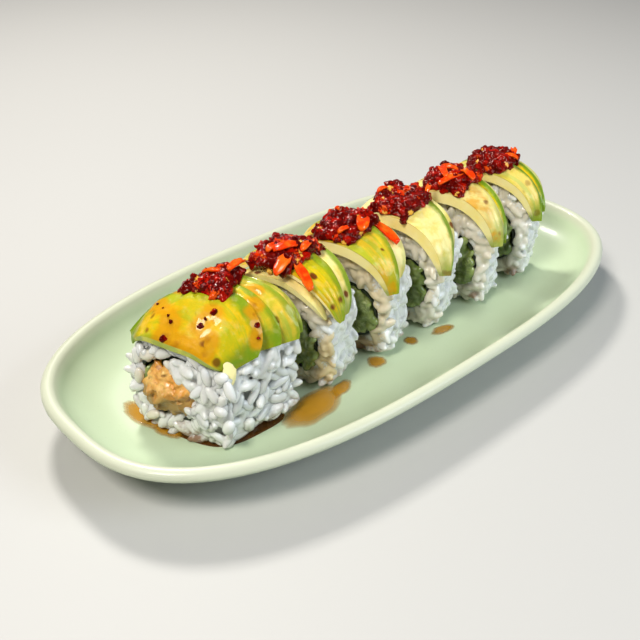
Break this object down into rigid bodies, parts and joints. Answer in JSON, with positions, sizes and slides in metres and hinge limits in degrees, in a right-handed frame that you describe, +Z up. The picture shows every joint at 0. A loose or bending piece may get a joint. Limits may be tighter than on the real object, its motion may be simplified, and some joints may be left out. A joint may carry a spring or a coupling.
{
  "type": "uramaki roll on a plate",
  "caption": "Sliced uramaki roll under overlapping avocado slices and a ridge of chilli relish, lined up on a long oval plate.",
  "frame": {"origin": "middle of the plate's foot, on the surface that the plate stands on", "axes": "+X along the plate's long side and the roll, from the thick first slice to the last; +Y across the plate, away from the side that the slices lie nearer to; +Z up"},
  "size_m": [0.24, 0.1202, 0.0599],
  "materials": {
    "glaze": "glazed",
    "rice": "moist",
    "seaweed": "satin",
    "fried": "rough",
    "green": "moist",
    "avocado": "moist",
    "relish": "wet"
  },
  "bodies": {
    "root": {"plate": "glaze", "slice1_rice": "rice", "slice1_seaweed": "seaweed", "slice1_fried": "fried", "slice1_green": "green", "slice1_avocado1": "avocado", "slice1_avocado2": "avocado", "slice1_avocado3": "avocado", "slice1_avocado4": "avocado", "slice1_relish": "relish", "slice2_rice": "rice", "slice2_seaweed": "seaweed", "slice2_fried": "fried", "slice2_green": "green", "slice2_avocado1": "avocado", "slice2_avocado2": "avocado", "slice2_avocado3": "avocado", "slice2_relish": "relish", "slice3_rice": "rice", "slice3_seaweed": "seaweed", "slice3_fried": "fried", "slice3_green": "green", "slice3_avocado1": "avocado", "slice3_avocado2": "avocado", "slice3_relish": "relish", "slice4_rice": "rice", "slice4_seaweed": "seaweed", "slice4_fried": "fried", "slice4_green": "green", "slice4_avocado1": "avocado", "slice4_avocado2": "avocado", "slice4_relish": "relish", "slice5_rice": "rice", "slice5_seaweed": "seaweed", "slice5_fried": "fried", "slice5_green": "green", "slice5_avocado1": "avocado", "slice5_avocado2": "avocado", "slice5_avocado3": "avocado", "slice5_relish": "relish", "slice6_rice": "rice", "slice6_seaweed": "seaweed", "slice6_fried": "fried", "slice6_green": "green", "slice6_avocado1": "avocado", "slice6_avocado2": "avocado", "slice6_avocado3": "avocado", "slice6_relish": "relish"}
  },
  "joints": []
}
